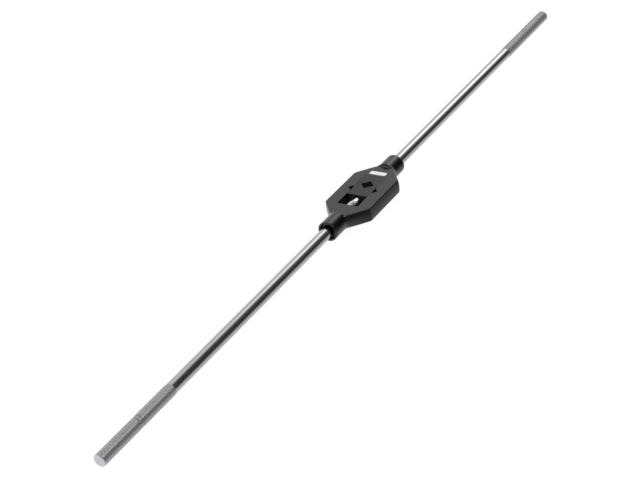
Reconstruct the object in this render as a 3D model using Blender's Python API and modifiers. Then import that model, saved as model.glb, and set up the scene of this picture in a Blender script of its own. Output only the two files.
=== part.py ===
"""Adjustable tap wrench, 750 mm long, for tap squares of 9 to 20 mm.

The handles lie along X on one axis. The adjusting handle is at -X and the fixed handle at +X.
Z is up, normal to the housing's flats, and the bosses stand on z = 0. Lengths are in metres.
The jaws are drawn closed on the smallest square.
"""

import math

import bmesh
import bpy
from mathutils import Vector

# Driving dimensions
OVERALL_LENGTH = 0.750
AXIS_HEIGHT = 0.009
CLEARANCE = 0.00025
ROUND_STEPS = 48

BOSS_RADIUS = AXIS_HEIGHT
BOSS_NEAR_END = -0.0576
BOSS_FAR_END = 0.0633
BOSS_FAR_ROUNDING = 0.0025
CONE_NEAR_START = -0.0392
CONE_FAR_START = 0.0449
CONE_SLOPE = 0.80
BLANK_RADIUS = 0.0235

HOUSING_WIDTH = 0.0447
HOUSING_THICKNESS = 0.0126
HOUSING_EDGE_RADIUS = 0.0022

SLOT_NEAR_END = -0.0222
SLOT_FAR_END = 0.0267
SLOT_WIDTH = 0.0204

SMALLEST_SQUARE = 0.0090
LARGEST_SQUARE = 0.0200
SQUARE_CENTRE = 0.0124
JAW_NEAR_END = -0.0063
JAW_FACE_GAP = 0.0002
JAW_WIDTH = SLOT_WIDTH - 2 * CLEARANCE
TRAVEL = math.sqrt(2) * (LARGEST_SQUARE - SMALLEST_SQUARE)

HANDLE_RADIUS = 0.0051
GRIP_RADIUS = 0.0053
GRIP_LENGTH = 0.088
GRIP_GROOVE_FROM_END = 0.0462
GRIP_GROOVE_WIDTH = 0.0040
GRIP_GROOVE_RADIUS = 0.0048
END_CHAMFER = 0.0007

SCREW_RADIUS = 0.0049
BORE_RADIUS = 0.0052
BUSH_OUTER_RADIUS = 0.0070
BUSH_INNER_END = -0.0405
BUSH_RECESS = 0.0022
SCREW_UNDERCUT = (-0.0136, -0.0120)
UNDERCUT_RADIUS = 0.0038
NOSE_RADIUS = 0.0042
NOSE_TIP = 0.0007
NOSE_GROOVE = (-0.0037, -0.0009)
NOSE_GROOVE_RADIUS = 0.0030
JAW_BORE_RADIUS = 0.0046
JAW_BORE_END = 0.0012

NOSE_PIN_RADIUS = 0.0011
NOSE_PIN_TOP = 0.0030
DOWEL_RADIUS = 0.00145
DOWEL_SPREAD = 0.0084
HANDLE_PIN_RADIUS = 0.0015
HANDLE_PIN_PLACE = 0.0540
HANDLE_PIN_TOP = 0.0020
FIXED_HANDLE_INNER_END = 0.0345

PLATE_LENGTH = 0.0158
PLATE_HEIGHT = 0.0052
PLATE_THICKNESS = 0.00035
PLATE_PLACE = 0.0318

HALF_LENGTH = OVERALL_LENGTH / 2
HALF_THICKNESS = HOUSING_THICKNESS / 2
HALF_WIDTH = HOUSING_WIDTH / 2
NOTCH_CENTRE = SQUARE_CENTRE - TRAVEL / 2
PAST = 0.003


def clear_scene():
    for thing in list(bpy.data.objects):
        bpy.data.objects.remove(thing, do_unlink=True)


def new_collection(name):
    collection = bpy.data.collections.new(name)
    bpy.context.scene.collection.children.link(collection)
    return collection


def new_material(name, colour, roughness, metallic):
    material = bpy.data.materials.new(name)
    material.use_nodes = True
    shader = material.node_tree.nodes["Principled BSDF"]
    shader.inputs["Base Color"].default_value = (*colour, 1.0)
    shader.inputs["Roughness"].default_value = roughness
    shader.inputs["Metallic"].default_value = metallic
    material.diffuse_color = (*colour, 1.0)
    return material


def add_object(name, mesh, collection, material=None):
    thing = bpy.data.objects.new(name, mesh)
    collection.objects.link(thing)
    if material:
        mesh.materials.append(material)
    else:
        thing.hide_render = True
        thing.display_type = "WIRE"
    return thing


def turned(name, profile, collection, material=None, closed=False, axis_height=AXIS_HEIGHT):
    """A shape turned about the handles' axis. The profile is (place along X, radius), from -X to +X."""
    mesh = bpy.data.meshes.new(name)
    points = [(radius, 0.0, place) for place, radius in reversed(profile)]
    edges = [(i, i + 1) for i in range(len(points) - 1)]
    if closed:
        edges.append((len(points) - 1, 0))
    mesh.from_pydata(points, edges, [])
    thing = add_object(name, mesh, collection, material)
    thing.location = (0.0, 0.0, axis_height)
    thing.rotation_euler = (0.0, math.pi / 2, 0.0)
    screw = thing.modifiers.new("turning", "SCREW")
    screw.axis = "Z"
    screw.steps = ROUND_STEPS
    screw.render_steps = ROUND_STEPS
    screw.use_merge_vertices = True
    screw.merge_threshold = 0.00002
    screw.use_smooth_shade = True
    return thing


def outline_plate(name, outline, bottom, top, collection, material=None):
    """A flat outline in X and Y, extruded from bottom to top (heights above the handles' axis)."""
    curve = bpy.data.curves.new(name + "_outline", "CURVE")
    curve.dimensions = "2D"
    curve.fill_mode = "BOTH"
    curve.extrude = (top - bottom) / 2
    spline = curve.splines.new("POLY")
    spline.points.add(len(outline) - 1)
    for point, (x, y) in zip(spline.points, outline):
        point.co = (x, y, 0.0, 1.0)
    spline.use_cyclic_u = True
    guide = bpy.data.objects.new(name + "_outline", curve)
    collection.objects.link(guide)
    guide.location = (0.0, 0.0, AXIS_HEIGHT + (bottom + top) / 2)
    bpy.context.view_layer.update()
    mesh = bpy.data.meshes.new_from_object(guide.evaluated_get(bpy.context.evaluated_depsgraph_get()))
    work = bmesh.new()
    work.from_mesh(mesh)
    bmesh.ops.remove_doubles(work, verts=work.verts, dist=0.000001)
    bmesh.ops.recalc_face_normals(work, faces=work.faces)
    work.to_mesh(mesh)
    work.free()
    mesh.name = name
    thing = add_object(name, mesh, collection, material)
    thing.matrix_world = guide.matrix_world.copy()
    bpy.data.objects.remove(guide)
    return thing


def block(name, low, high, collection, material=None):
    """A box between two corners, whose heights are above the handles' axis."""
    mesh = bpy.data.meshes.new(name)
    work = bmesh.new()
    bmesh.ops.create_cube(work, size=1.0)
    bmesh.ops.scale(work, vec=Vector(high) - Vector(low), verts=work.verts)
    work.to_mesh(mesh)
    work.free()
    thing = add_object(name, mesh, collection, material)
    thing.location = (Vector(low) + Vector(high)) / 2 + Vector((0.0, 0.0, AXIS_HEIGHT))
    return thing


def upright_pin(name, place, radius, bottom, top, collection, material=None, steps=24):
    """A round pin or drill along Z. Its ends are heights above the handles' axis."""
    mesh = bpy.data.meshes.new(name)
    work = bmesh.new()
    bmesh.ops.create_cone(
        work, cap_ends=True, segments=steps, radius1=radius, radius2=radius, depth=top - bottom
    )
    work.to_mesh(mesh)
    work.free()
    mesh.shade_smooth()
    mesh.set_sharp_from_angle(angle=math.radians(40))
    thing = add_object(name, mesh, collection, material)
    thing.location = (*place, AXIS_HEIGHT + (bottom + top) / 2)
    return thing


def combine(thing, operation, tool):
    step = thing.modifiers.new(f"{operation.lower()}_{tool.name}", "BOOLEAN")
    step.operation = operation
    step.solver = "EXACT"
    step.object = tool
    return step


def round_edges(thing, width, segments, angle_degrees=30):
    bevel = thing.modifiers.new("edge_rounding", "BEVEL")
    bevel.width = width
    bevel.segments = segments
    bevel.limit_method = "ANGLE"
    bevel.angle_limit = math.radians(angle_degrees)
    return bevel


def quarter_round(start, end, steps):
    """Points from start (place, radius) to end along a quarter ellipse that bulges outwards."""
    points = []
    for i in range(steps + 1):
        turn = math.pi / 2 * i / steps
        place = start[0] + (end[0] - start[0]) * math.sin(turn)
        radius = end[1] + (start[1] - end[1]) * math.cos(turn)
        points.append((place, radius))
    return points


def make_housing(parts, cutters, material):
    """A turned blank with milled flats, a round boss at each end, and the slot for the jaws."""
    rise = (BLANK_RADIUS - BOSS_RADIUS) / CONE_SLOPE
    inner_drop = (BOSS_RADIUS - 0.006) / CONE_SLOPE
    blank_profile = [
        (CONE_NEAR_START - inner_drop, 0.0),
        (CONE_NEAR_START - inner_drop, 0.006),
        (CONE_NEAR_START + rise, BLANK_RADIUS),
        (CONE_FAR_START - rise, BLANK_RADIUS),
        (CONE_FAR_START + inner_drop, 0.006),
        (CONE_FAR_START + inner_drop, 0.0),
    ]
    housing = turned("housing", blank_profile, parts, material)
    flats = block(
        "milled_flats",
        (CONE_NEAR_START - 0.012, -HALF_WIDTH, -HALF_THICKNESS),
        (CONE_FAR_START + 0.012, HALF_WIDTH, HALF_THICKNESS),
        cutters,
    )
    round_edges(flats, HOUSING_EDGE_RADIUS, 4)
    combine(housing, "INTERSECT", flats)

    near_boss_profile = [
        (BOSS_NEAR_END, 0.0),
        (BOSS_NEAR_END, BOSS_RADIUS - END_CHAMFER),
        (BOSS_NEAR_END + END_CHAMFER, BOSS_RADIUS),
        (CONE_NEAR_START, BOSS_RADIUS),
        (CONE_NEAR_START, 0.0),
    ]
    rounding_start = BOSS_FAR_END - BOSS_FAR_ROUNDING
    far_boss_profile = [(CONE_FAR_START, 0.0), (CONE_FAR_START, BOSS_RADIUS)]
    far_boss_profile += quarter_round(
        (rounding_start, BOSS_RADIUS), (BOSS_FAR_END, BOSS_RADIUS - BOSS_FAR_ROUNDING), 4
    )
    far_boss_profile.append((BOSS_FAR_END, 0.0))
    combine(housing, "UNION", turned("near_boss", near_boss_profile, cutters))
    combine(housing, "UNION", turned("far_boss", far_boss_profile, cutters))

    half_slot = SLOT_WIDTH / 2
    notch = LARGEST_SQUARE / math.sqrt(2) + 0.0004 - half_slot
    one_side = [
        (SLOT_NEAR_END, -half_slot),
        (NOTCH_CENTRE - notch, -half_slot),
        (NOTCH_CENTRE, -half_slot - notch),
        (NOTCH_CENTRE + notch, -half_slot),
        (SLOT_FAR_END, -half_slot),
    ]
    slot_outline = one_side + [(x, -y) for x, y in reversed(one_side)]
    slot = outline_plate("jaw_slot", slot_outline, -HALF_THICKNESS - PAST, HALF_THICKNESS + PAST, cutters)
    combine(housing, "DIFFERENCE", slot)

    near_bore_profile = [
        (BOSS_NEAR_END - PAST, 0.0),
        (BOSS_NEAR_END - PAST, BUSH_OUTER_RADIUS + CLEARANCE),
        (BUSH_INNER_END + CLEARANCE, BUSH_OUTER_RADIUS + CLEARANCE),
        (BUSH_INNER_END + CLEARANCE, BORE_RADIUS),
        (SLOT_NEAR_END + PAST, BORE_RADIUS),
        (SLOT_NEAR_END + PAST, 0.0),
    ]
    combine(housing, "DIFFERENCE", turned("near_bore", near_bore_profile, cutters))
    far_bore_profile = [
        (FIXED_HANDLE_INNER_END - CLEARANCE, 0.0),
        (FIXED_HANDLE_INNER_END - CLEARANCE, BORE_RADIUS),
        (BOSS_FAR_END + PAST, BORE_RADIUS),
        (BOSS_FAR_END + PAST, 0.0),
    ]
    combine(housing, "DIFFERENCE", turned("far_bore", far_bore_profile, cutters))
    for drill in dowel_drills("housing", cutters):
        combine(housing, "DIFFERENCE", drill)
    combine(housing, "DIFFERENCE", handle_pin_drill("housing", cutters))
    return housing


def dowel_places():
    return [("left", (SLOT_FAR_END, DOWEL_SPREAD)), ("right", (SLOT_FAR_END, -DOWEL_SPREAD))]


def dowel_drills(owner, cutters):
    reach = HALF_THICKNESS + PAST
    return [
        upright_pin(f"{owner}_dowel_drill_{side}", place, DOWEL_RADIUS + CLEARANCE, -reach, reach, cutters)
        for side, place in dowel_places()
    ]


def handle_pin_drill(owner, cutters):
    return upright_pin(
        f"{owner}_handle_pin_drill",
        (HANDLE_PIN_PLACE, 0.0),
        HANDLE_PIN_RADIUS + CLEARANCE,
        -BOSS_RADIUS - PAST,
        HANDLE_PIN_TOP + CLEARANCE,
        cutters,
    )


def make_screw_bush(parts, material):
    """The threaded insert that the adjusting screw turns in. Its mouth shows as a ring in the boss."""
    lip = 0.0005
    mouth = BOSS_NEAR_END + BUSH_RECESS
    profile = [
        (mouth, BORE_RADIUS + lip),
        (mouth, BUSH_OUTER_RADIUS - lip),
        (mouth + lip, BUSH_OUTER_RADIUS),
        (BUSH_INNER_END, BUSH_OUTER_RADIUS),
        (BUSH_INNER_END, BORE_RADIUS),
        (mouth + lip, BORE_RADIUS),
    ]
    return turned("screw_bush", profile, parts, material, closed=True)


def v_jaw_outline(face, apex, back, corner):
    """The outline of a jaw: a block with a right-angled V in its face, and small back corners."""
    half = JAW_WIDTH / 2
    mouth = abs(face - apex)
    inward = corner if back > face else -corner
    return [
        (face, half),
        (face, mouth),
        (apex, 0.0),
        (face, -mouth),
        (face, -half),
        (back - inward, -half),
        (back, -half + corner),
        (back, half - corner),
        (back - inward, half),
    ]


def make_fixed_jaw(parts, cutters, material):
    apex = SQUARE_CENTRE + SMALLEST_SQUARE / math.sqrt(2)
    outline = v_jaw_outline(SQUARE_CENTRE + JAW_FACE_GAP / 2, apex, SLOT_FAR_END - CLEARANCE, 0.0005)
    jaw = outline_plate("fixed_jaw", outline, -HALF_THICKNESS, HALF_THICKNESS, parts, material)
    for drill in dowel_drills("jaw", cutters):
        combine(jaw, "DIFFERENCE", drill)
    return jaw


def nose_pin_places():
    place = (NOSE_GROOVE[0] + NOSE_GROOVE[1]) / 2
    spread = NOSE_GROOVE_RADIUS + NOSE_PIN_RADIUS + 0.00015
    return [("left", (place, spread)), ("right", (place, -spread))]


def make_sliding_jaw(parts, cutters, material):
    apex = SQUARE_CENTRE - SMALLEST_SQUARE / math.sqrt(2)
    outline = v_jaw_outline(SQUARE_CENTRE - JAW_FACE_GAP / 2, apex, JAW_NEAR_END, 0.0005)
    jaw = outline_plate("sliding_jaw", outline, -HALF_THICKNESS, HALF_THICKNESS, parts, material)
    bore_profile = [
        (JAW_NEAR_END - PAST, 0.0),
        (JAW_NEAR_END - PAST, JAW_BORE_RADIUS),
        (JAW_BORE_END, JAW_BORE_RADIUS),
        (JAW_BORE_END, 0.0),
    ]
    combine(jaw, "DIFFERENCE", turned("jaw_bore", bore_profile, cutters))
    for side, place in nose_pin_places():
        drill = upright_pin(
            f"nose_pin_drill_{side}",
            place,
            NOSE_PIN_RADIUS + CLEARANCE / 2,
            -HALF_THICKNESS - PAST,
            NOSE_PIN_TOP + CLEARANCE,
            cutters,
        )
        combine(jaw, "DIFFERENCE", drill)
    return jaw


def grip_profile(end):
    """The plain outline of a grip from its outer end at -X inwards: chamfer, crown, ring groove, crown."""
    groove_start = end + GRIP_GROOVE_FROM_END - GRIP_GROOVE_WIDTH / 2
    groove_end = groove_start + GRIP_GROOVE_WIDTH
    slope = GRIP_RADIUS - GRIP_GROOVE_RADIUS
    grip_end = end + GRIP_LENGTH
    return [
        (end, 0.0),
        (end, GRIP_RADIUS - END_CHAMFER),
        (end + END_CHAMFER, GRIP_RADIUS),
        (groove_start, GRIP_RADIUS),
        (groove_start + slope, GRIP_GROOVE_RADIUS),
        (groove_end - slope, GRIP_GROOVE_RADIUS),
        (groove_end, GRIP_RADIUS),
        (grip_end - slope / 2, GRIP_RADIUS),
        (grip_end, HANDLE_RADIUS),
    ]


def make_adjusting_handle(parts, material):
    """One bar: knurled grip, shank, screw (drawn at its pitch line), undercut, and a grooved nose."""
    shoulder = BOSS_NEAR_END - CLEARANCE
    profile = grip_profile(-HALF_LENGTH) + [
        (shoulder, HANDLE_RADIUS),
        (shoulder, SCREW_RADIUS),
        (SCREW_UNDERCUT[0], SCREW_RADIUS),
        (SCREW_UNDERCUT[0] + 0.0002, UNDERCUT_RADIUS),
        (SCREW_UNDERCUT[1] - 0.0002, UNDERCUT_RADIUS),
        (SCREW_UNDERCUT[1], NOSE_RADIUS),
        (NOSE_GROOVE[0], NOSE_RADIUS),
        (NOSE_GROOVE[0], NOSE_GROOVE_RADIUS),
        (NOSE_GROOVE[1], NOSE_GROOVE_RADIUS),
        (NOSE_GROOVE[1], NOSE_RADIUS),
        (NOSE_TIP - 0.0005, NOSE_RADIUS),
        (NOSE_TIP, NOSE_RADIUS - 0.0005),
        (NOSE_TIP, 0.0),
    ]
    return turned("adjusting_handle", profile, parts, material)


def make_fixed_handle(parts, cutters, material):
    """The other bar: the same grip and shank, screwed and pinned in the far boss."""
    mirrored = [(-place, radius) for place, radius in reversed(grip_profile(-HALF_LENGTH))]
    shoulder = BOSS_FAR_END + CLEARANCE
    profile = [
        (FIXED_HANDLE_INNER_END, 0.0),
        (FIXED_HANDLE_INNER_END, SCREW_RADIUS - END_CHAMFER),
        (FIXED_HANDLE_INNER_END + END_CHAMFER, SCREW_RADIUS),
        (shoulder, SCREW_RADIUS),
        (shoulder, HANDLE_RADIUS),
    ]
    handle = turned("fixed_handle", profile + mirrored, parts, material)
    combine(handle, "DIFFERENCE", handle_pin_drill("handle", cutters))
    return handle


def make_name_plate(parts, material):
    """A blank plate above the flat, just past the fixed jaw."""
    low = HALF_THICKNESS + CLEARANCE / 2
    plate = block(
        "name_plate",
        (PLATE_PLACE - PLATE_HEIGHT / 2, -PLATE_LENGTH / 2, low),
        (PLATE_PLACE + PLATE_HEIGHT / 2, PLATE_LENGTH / 2, low + PLATE_THICKNESS),
        parts,
        material,
    )
    return plate


def new_empty(name, place, collection, parent=None):
    empty = bpy.data.objects.new(name, None)
    empty.empty_display_size = 0.02
    collection.objects.link(empty)
    if parent:
        empty.parent = parent
    empty.location = place
    return empty


def hold(thing, empty):
    """Parents a piece to an empty and leaves the piece where it is."""
    bpy.context.view_layer.update()
    thing.parent = empty
    thing.matrix_parent_inverse = empty.matrix_world.inverted()


def main():
    clear_scene()
    parts = new_collection("tap_wrench")
    cutters = new_collection("cutters")
    black_paint = new_material("black_paint", (0.018, 0.018, 0.020), 0.38, 0.0)
    black_steel = new_material("black_steel", (0.028, 0.028, 0.030), 0.42, 0.5)
    polished_steel = new_material("polished_steel", (0.62, 0.62, 0.64), 0.16, 1.0)
    hard_steel = new_material("hard_steel", (0.30, 0.30, 0.32), 0.30, 1.0)
    white_label = new_material("white_label", (0.85, 0.85, 0.86), 0.45, 0.0)

    make_housing(parts, cutters, black_paint)
    make_screw_bush(parts, hard_steel)
    make_fixed_jaw(parts, cutters, black_steel)
    sliding_jaw = make_sliding_jaw(parts, cutters, black_steel)
    adjusting_handle = make_adjusting_handle(parts, polished_steel)
    make_fixed_handle(parts, cutters, polished_steel)
    make_name_plate(parts, white_label)

    dowel_end = HALF_THICKNESS - CLEARANCE
    for side, place in dowel_places():
        upright_pin(
            f"fixed_jaw_dowel_{side}", place, DOWEL_RADIUS, -dowel_end, dowel_end, parts, hard_steel.copy()
        )
    upright_pin(
        "fixed_handle_pin",
        (HANDLE_PIN_PLACE, 0.0),
        HANDLE_PIN_RADIUS,
        -BOSS_RADIUS + 0.0004,
        HANDLE_PIN_TOP,
        parts,
        hard_steel.copy(),
    )
    nose_pins = [
        upright_pin(
            f"nose_pin_{side}", place, NOSE_PIN_RADIUS, -dowel_end, NOSE_PIN_TOP, parts, hard_steel.copy()
        )
        for side, place in nose_pin_places()
    ]

    jaw_slide = new_empty("jaw_slide_guide", (0.0, 0.0, 0.0), parts)
    handle_axis = new_empty("handle_turn_axis", (0.0, 0.0, AXIS_HEIGHT), parts, jaw_slide)
    for thing in [sliding_jaw, *nose_pins]:
        hold(thing, jaw_slide)
    hold(adjusting_handle, handle_axis)
    bpy.context.view_layer.update()


main()
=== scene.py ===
import math

import bpy
import numpy as np
from mathutils import Matrix, Vector


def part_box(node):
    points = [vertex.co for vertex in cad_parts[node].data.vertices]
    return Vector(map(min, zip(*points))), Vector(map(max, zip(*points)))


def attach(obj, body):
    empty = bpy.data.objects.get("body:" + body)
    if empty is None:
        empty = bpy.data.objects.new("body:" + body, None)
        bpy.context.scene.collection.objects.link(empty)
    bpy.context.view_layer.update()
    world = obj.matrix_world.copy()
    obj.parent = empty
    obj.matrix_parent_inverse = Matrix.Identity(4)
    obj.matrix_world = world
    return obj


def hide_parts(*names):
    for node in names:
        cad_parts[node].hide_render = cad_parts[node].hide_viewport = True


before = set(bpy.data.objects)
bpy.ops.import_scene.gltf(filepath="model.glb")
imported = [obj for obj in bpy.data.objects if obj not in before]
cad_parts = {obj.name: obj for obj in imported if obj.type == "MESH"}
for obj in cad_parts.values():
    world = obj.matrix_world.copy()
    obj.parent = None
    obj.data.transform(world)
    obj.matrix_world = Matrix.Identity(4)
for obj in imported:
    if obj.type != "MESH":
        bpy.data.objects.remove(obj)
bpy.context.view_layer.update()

# places taken from the CAD nodes
housingLow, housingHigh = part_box("housing")
slidingLow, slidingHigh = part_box("sliding_jaw")
fixedLow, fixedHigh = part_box("fixed_jaw")
adjustLow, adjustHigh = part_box("adjusting_handle")
fixedBarLow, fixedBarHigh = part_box("fixed_handle")
axisHeight = (housingLow.z + housingHigh.z) / 2
halfThickness = (slidingHigh.z - slidingLow.z) / 2

shared = {
    "seam": 0.00025,                 # the gap that touching pieces keep
    "pinSeam": 0.000125,
    "paintedSeam": 0.00008,
    "past": 0.003,                   # how far a cutting tool reaches past what it cuts
    "mouth": 0.0004,                 # the chamfer at the mouth of a bore
    "weld": 2e-7,                    # points closer than this are one
    "smoothAngle": 32.0,             # edges that turn by more than this, in degrees, stay sharp
    "plateSmoothAngle": 28.0,
}


# helpers for meshes

def finishMesh(name, points, faces):
    # equal points become one, triangles that closed up are dropped, and what is left is laid into a mesh
    keys = np.round(points / shared["weld"]).astype(np.int64)
    _, first, back = np.unique(keys, axis=0, return_index=True, return_inverse=True)
    faces = back.reshape(-1)[faces]
    whole = (faces[:, 0] != faces[:, 1]) & (faces[:, 1] != faces[:, 2]) & (faces[:, 0] != faces[:, 2])
    points, faces = points[first], faces[whole]
    mesh = bpy.data.meshes.new(name)
    mesh.vertices.add(len(points))
    mesh.vertices.foreach_set("co", points.astype(np.float32).ravel())
    mesh.loops.add(faces.size)
    mesh.loops.foreach_set("vertex_index", faces.astype(np.int32).ravel())
    mesh.polygons.add(len(faces))
    mesh.polygons.foreach_set("loop_start", np.arange(0, faces.size, 3, dtype=np.int32))
    mesh.update(calc_edges=True)
    mesh.shade_smooth()
    mesh.set_sharp_from_angle(angle=math.radians(shared["smoothAngle"]))
    return mesh


def addObject(name, mesh, material=None):
    thing = bpy.data.objects.new(name, mesh)
    bpy.context.scene.collection.objects.link(thing)
    if material:
        mesh.materials.append(material)
    return thing


def gridFaces(rows, columns, seamShift=0, otherDiagonal=None):
    # two triangles for each cell of a rows x columns grid that closes round; past the seam
    # the next column is the first one, seamShift rows further on (a screw's pitch)
    i, j = np.meshgrid(np.arange(rows - 1), np.arange(columns), indexing="ij")
    shift = np.where(j == columns - 1, seamShift, 0)
    nextColumn = (j + 1) % columns
    inside = i + 1 + shift < rows
    i, j, shift, nextColumn = i[inside], j[inside], shift[inside], nextColumn[inside]
    a, b = i * columns + j, (i + 1) * columns + j
    c, d = (i + 1 + shift) * columns + nextColumn, (i + shift) * columns + nextColumn
    other = np.zeros(len(a), bool) if otherDiagonal is None else otherDiagonal[i, j]
    first = np.where(other[:, None], np.stack([a, d, b], 1), np.stack([a, c, b], 1))
    second = np.where(other[:, None], np.stack([d, c, b], 1), np.stack([a, d, c], 1))
    return np.concatenate([first, second])


def roundAbout(x, radius, angles):
    # points at (x, radius cos(angle), radius sin(angle)) about the handles' axis
    x, radius, angles = np.broadcast_arrays(x, radius, angles)
    return np.stack([x, radius * np.cos(angles), radius * np.sin(angles) + axisHeight], -1).reshape(-1, 3)


def joinBlocks(blocks):
    # several (points, faces) blocks as one
    start = np.cumsum([0] + [len(p) for p, _ in blocks[:-1]])
    points = np.concatenate([p for p, _ in blocks])
    faces = np.concatenate([f + s for (_, f), s in zip(blocks, start)])
    return points, faces


def cut(thing, tools):
    # takes the tools' shapes out of the piece for good, and removes the tools
    for tool in tools:
        step = thing.modifiers.new("cut", "BOOLEAN")
        step.operation = "DIFFERENCE"
        step.solver = "EXACT"
        step.object = tool
    bpy.context.view_layer.update()
    evaluated = thing.evaluated_get(bpy.context.evaluated_depsgraph_get())
    mesh = bpy.data.meshes.new_from_object(evaluated)
    thing.modifiers.clear()
    old = thing.data
    mesh.name = old.name + "_cut"
    thing.data = mesh
    bpy.data.meshes.remove(old)
    for tool in tools:
        bpy.data.objects.remove(tool)
    mesh.shade_smooth()
    mesh.set_sharp_from_angle(angle=math.radians(shared["smoothAngle"]))


def turnedPiece(name, profile, sides=96, material=None):
    # a closed turned shape from (place, radius) pairs along X
    x, r = np.array(profile, float).T
    angles = np.linspace(0, 2 * math.pi, sides, endpoint=False)
    points = roundAbout(x[:, None], r[:, None], angles[None, :])
    return addObject(name, finishMesh(name, points, gridFaces(len(x), sides)), material)


def easedCorners(outline, size, steps=3):
    # each corner p becomes the curve p + size ((1-t)^2 toBefore + t^2 toAfter), for t from 0 to 1
    p = np.array(outline, float)
    before, after = np.roll(p, 1, 0) - p, np.roll(p, -1, 0) - p
    before /= np.linalg.norm(before, axis=1)[:, None]
    after /= np.linalg.norm(after, axis=1)[:, None]
    t = np.linspace(0, 1, steps)[None, :, None]
    curve = p[:, None] + size * ((1 - t) ** 2 * before[:, None] + t ** 2 * after[:, None])
    return curve.reshape(-1, 2)


def grown(outline, distance):
    # each point moves along the mitre of its two edges, so that every edge moves out by distance
    edge = np.roll(outline, -1, 0) - outline
    out = np.stack([edge[:, 1], -edge[:, 0]], 1)
    out /= np.linalg.norm(out, axis=1)[:, None]
    before = np.roll(out, 1, 0)
    mitre = (out + before) / (1 + (out * before).sum(1))[:, None]
    return outline + mitre * distance


def platePiece(name, outline, levels, material=None):
    # an anticlockwise outline stacked at (height above the axis, growth) levels, with flat ends
    outline = np.array(outline, float)
    count = len(outline)
    rings = [np.column_stack([grown(outline, growth), np.full(count, axisHeight + height)])
             for height, growth in levels]
    points = np.concatenate(rings)
    i, j = np.meshgrid(np.arange(len(levels) - 1), np.arange(count), indexing="ij")
    a, b = i * count + j, i * count + (j + 1) % count
    walls = np.stack([a, b, b + count, a + count], -1).reshape(-1, 4).tolist()
    lowEnd = list(range(count))[::-1]
    highEnd = list(range((len(levels) - 1) * count, len(levels) * count))
    mesh = bpy.data.meshes.new(name)
    mesh.from_pydata(points.tolist(), [], walls + [lowEnd, highEnd])
    mesh.update(calc_edges=True)
    mesh.shade_smooth()
    mesh.set_sharp_from_angle(angle=math.radians(shared["plateSmoothAngle"]))
    return addObject(name, mesh, material)


def roundMax(a, b, radius):
    # the larger of two distances, its corner rounded to that radius
    corner = np.hypot(np.maximum(a + radius, 0), np.maximum(b + radius, 0))
    return np.minimum(np.maximum(a, b), -radius) + corner


def roundMin(a, b, radius):
    # the smaller of two distances, its corner rounded to that radius
    return -roundMax(-a, -b, radius)


def fit(piece, body, slotName, *nodes):
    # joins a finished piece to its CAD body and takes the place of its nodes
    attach(piece, body)
    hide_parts(*nodes)
    print("  piece", piece.name, "-", sum(len(p.vertices) - 2 for p in piece.data.polygons), "triangles")
    return piece


# helpers for node trees

def newGroup(name, inputs, outputs):
    # a shader group whose inputs and outputs are all single values
    group = bpy.data.node_groups.new(name, "ShaderNodeTree")
    for label, value in inputs.items():
        socket = group.interface.new_socket(name=label, in_out="INPUT", socket_type="NodeSocketFloat")
        socket.default_value = value
    for label in outputs:
        group.interface.new_socket(name=label, in_out="OUTPUT", socket_type="NodeSocketFloat")
    return group, group.nodes.new("NodeGroupInput"), group.nodes.new("NodeGroupOutput")


def node(tree, kind, inputs=None, **settings):
    made = tree.nodes.new(kind)
    for key, value in settings.items():
        setattr(made, key, value)
    for key, value in (inputs or {}).items():
        if isinstance(value, bpy.types.NodeSocket):
            tree.links.new(value, made.inputs[key])
        else:
            made.inputs[key].default_value = value
    return made


def maths(tree, operation, a, b=0.0, c=0.0):
    return node(tree, "ShaderNodeMath", {0: a, 1: b, 2: c}, operation=operation).outputs[0]


def ranged(tree, value, low, high, toLow=0.0, toHigh=1.0, shape="SMOOTHSTEP"):
    inputs = {0: value, 1: low, 2: high, 3: toLow, 4: toHigh}
    return node(tree, "ShaderNodeMapRange", inputs, interpolation_type=shape).outputs[0]


def mixedColour(tree, mask, first, second):
    # each colour is three numbers or comes from another node
    inputs = {place: value if isinstance(value, bpy.types.NodeSocket) else (*value, 1.0)
              for place, value in ((6, first), (7, second))}
    return node(tree, "ShaderNodeMix", {0: mask, **inputs}, data_type="RGBA").outputs[2]


def objectPlace(tree):
    return node(tree, "ShaderNodeTexCoord").outputs["Object"]


def alongX(tree):
    return node(tree, "ShaderNodeSeparateXYZ", {0: objectPlace(tree)}).outputs["X"]


def noise(tree, place, scale, detail, roughness=0.5):
    inputs = {"Vector": place, "Scale": scale, "Detail": detail, "Roughness": roughness}
    return node(tree, "ShaderNodeTexNoise", inputs).outputs[0]


def mixedValue(tree, share, first, second):
    return node(tree, "ShaderNodeMix", {0: share, 2: first, 3: second}).outputs[0]


# shared effects: each group puts out a mask, a value or a height

# wear where the surface turns sharply: 1 minus the dot of the true and the rounded normal, broken by noise
edgeWear, given, put = newGroup(
    "edgeWear", {"Radius": 0.0006, "Threshold": 0.02, "Spread": 0.12, "Breakup": 0.6, "Scale": 700.0},
    ["Mask"])
rounded = node(edgeWear, "ShaderNodeBevel", {"Radius": given.outputs["Radius"]}, samples=6)
flat = node(edgeWear, "ShaderNodeNewGeometry")
dot = node(edgeWear, "ShaderNodeVectorMath",
           {0: rounded.outputs[0], 1: flat.outputs["Normal"]}, operation="DOT_PRODUCT")
turn = maths(edgeWear, "SUBTRACT", 1.0, dot.outputs["Value"])
patches = noise(edgeWear, objectPlace(edgeWear), given.outputs["Scale"], 4.0, 0.65)
broken = maths(edgeWear, "MULTIPLY", maths(edgeWear, "SUBTRACT", patches, 0.5),
               maths(edgeWear, "MULTIPLY", given.outputs["Breakup"], given.outputs["Spread"]))
level = maths(edgeWear, "ADD", turn, broken)
top = maths(edgeWear, "ADD", given.outputs["Threshold"], given.outputs["Spread"])
mask = ranged(edgeWear, level, given.outputs["Threshold"], top, shape="LINEAR")
edgeWear.links.new(mask, put.inputs["Mask"])

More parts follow.
